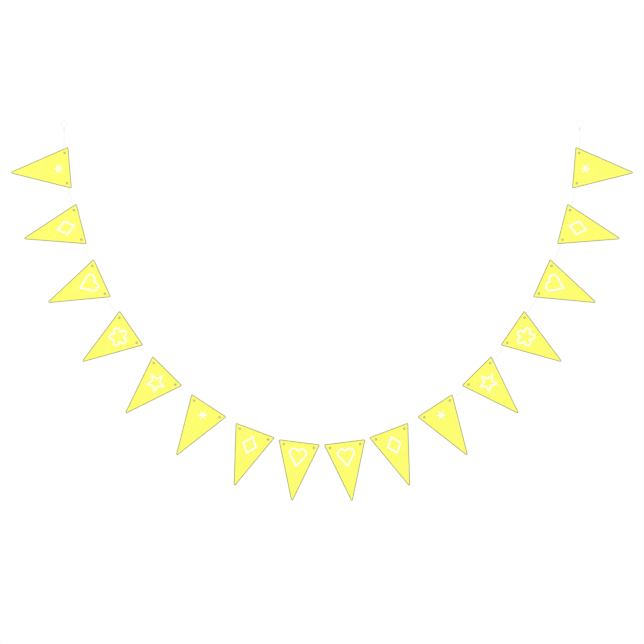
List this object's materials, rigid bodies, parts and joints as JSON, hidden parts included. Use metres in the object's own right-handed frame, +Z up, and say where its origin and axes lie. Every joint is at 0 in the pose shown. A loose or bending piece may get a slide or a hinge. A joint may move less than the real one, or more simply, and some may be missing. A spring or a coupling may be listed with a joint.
{
  "type": "pennant garland",
  "caption": "Hanging garland of yellow triangular card pennants threaded on white cotton twine, with a knotted hanging loop at each end.",
  "frame": {"origin": "the point at the top of the left hanging loop's inside, where it bears on its hook", "axes": "+Z up, +X from the left hook to the right hook, -Y out of the printed faces towards the viewer"},
  "size_m": [1.8954, 0.004, 1.16],
  "materials": {
    "card": "stiff satin card, printed yellow on both faces with a thin olive line round the edge and round each hole, and a white mark on the front",
    "twine": "white three-strand twisted cotton twine"
  },
  "bodies": {
    "line": {"twine_span_01": "twine", "twine_span_02": "twine", "twine_span_03": "twine", "twine_span_04": "twine", "twine_span_05": "twine", "twine_span_06": "twine", "twine_span_07": "twine", "twine_span_08": "twine", "twine_span_09": "twine", "twine_span_10": "twine", "twine_span_11": "twine", "twine_span_12": "twine", "twine_span_13": "twine", "twine_span_14": "twine", "twine_span_15": "twine", "left_tail": "twine", "left_knot": "twine", "left_loop": "twine", "right_tail": "twine", "right_knot": "twine", "right_loop": "twine"},
    "pennant_01": {"pennant_01": "card", "twine_run_01": "twine"},
    "pennant_02": {"pennant_02": "card", "twine_run_02": "twine"},
    "pennant_03": {"pennant_03": "card", "twine_run_03": "twine"},
    "pennant_04": {"pennant_04": "card", "twine_run_04": "twine"},
    "pennant_05": {"pennant_05": "card", "twine_run_05": "twine"},
    "pennant_06": {"pennant_06": "card", "twine_run_06": "twine"},
    "pennant_07": {"pennant_07": "card", "twine_run_07": "twine"},
    "pennant_08": {"pennant_08": "card", "twine_run_08": "twine"},
    "pennant_09": {"pennant_09": "card", "twine_run_09": "twine"},
    "pennant_10": {"pennant_10": "card", "twine_run_10": "twine"},
    "pennant_11": {"pennant_11": "card", "twine_run_11": "twine"},
    "pennant_12": {"pennant_12": "card", "twine_run_12": "twine"},
    "pennant_13": {"pennant_13": "card", "twine_run_13": "twine"},
    "pennant_14": {"pennant_14": "card", "twine_run_14": "twine"},
    "pennant_15": {"pennant_15": "card", "twine_run_15": "twine"},
    "pennant_16": {"pennant_16": "card", "twine_run_16": "twine"}
  },
  "joints": [
    {"name": "swing_01", "type": "hinge", "parent": "line", "child": "pennant_01", "pos_m": [0.00506, 0, -0.14512], "axis": [0.0834, 0, -0.9965], "range_deg": [-90, 90]},
    {"name": "swing_02", "type": "hinge", "parent": "line", "child": "pennant_02", "pos_m": [0.04089, 0, -0.31854], "axis": [0.2478, 0, -0.9688], "range_deg": [-90, 90]},
    {"name": "swing_03", "type": "hinge", "parent": "line", "child": "pennant_03", "pos_m": [0.10496, 0, -0.48584], "axis": [0.4097, 0, -0.9122], "range_deg": [-90, 90]},
    {"name": "swing_04", "type": "hinge", "parent": "line", "child": "pennant_04", "pos_m": [0.19472, 0, -0.63982], "axis": [0.5656, 0, -0.8247], "range_deg": [-90, 90]},
    {"name": "swing_05", "type": "hinge", "parent": "line", "child": "pennant_05", "pos_m": [0.30593, 0, -0.77281], "axis": [0.7105, 0, -0.7037], "range_deg": [-90, 90]},
    {"name": "swing_06", "type": "hinge", "parent": "line", "child": "pennant_06", "pos_m": [0.43488, 0, -0.87974], "axis": [0.8372, 0, -0.5469], "range_deg": [-90, 90]},
    {"name": "swing_07", "type": "hinge", "parent": "line", "child": "pennant_07", "pos_m": [0.57842, 0, -0.95636], "axis": [0.9355, 0, -0.3534], "range_deg": [-90, 90]},
    {"name": "swing_08", "type": "hinge", "parent": "line", "child": "pennant_08", "pos_m": [0.71553, 0, -0.99308], "axis": [0.9921, 0, -0.1252], "range_deg": [-90, 90]},
    {"name": "swing_09", "type": "hinge", "parent": "line", "child": "pennant_09", "pos_m": [0.85666, 0, -0.99308], "axis": [0.9921, 0, 0.1252], "range_deg": [-90, 90]},
    {"name": "swing_10", "type": "hinge", "parent": "line", "child": "pennant_10", "pos_m": [0.99377, 0, -0.95636], "axis": [0.9355, 0, 0.3534], "range_deg": [-90, 90]},
    {"name": "swing_11", "type": "hinge", "parent": "line", "child": "pennant_11", "pos_m": [1.13731, 0, -0.87974], "axis": [0.8372, 0, 0.5469], "range_deg": [-90, 90]},
    {"name": "swing_12", "type": "hinge", "parent": "line", "child": "pennant_12", "pos_m": [1.26626, 0, -0.77281], "axis": [0.7105, 0, 0.7037], "range_deg": [-90, 90]},
    {"name": "swing_13", "type": "hinge", "parent": "line", "child": "pennant_13", "pos_m": [1.37747, 0, -0.63982], "axis": [0.5656, 0, 0.8247], "range_deg": [-90, 90]},
    {"name": "swing_14", "type": "hinge", "parent": "line", "child": "pennant_14", "pos_m": [1.46723, 0, -0.48584], "axis": [0.4097, 0, 0.9122], "range_deg": [-90, 90]},
    {"name": "swing_15", "type": "hinge", "parent": "line", "child": "pennant_15", "pos_m": [1.5313, 0, -0.31854], "axis": [0.2478, 0, 0.9688], "range_deg": [-90, 90]},
    {"name": "swing_16", "type": "hinge", "parent": "line", "child": "pennant_16", "pos_m": [1.56713, 0, -0.14512], "axis": [0.0834, 0, 0.9965], "range_deg": [-90, 90]}
  ]
}
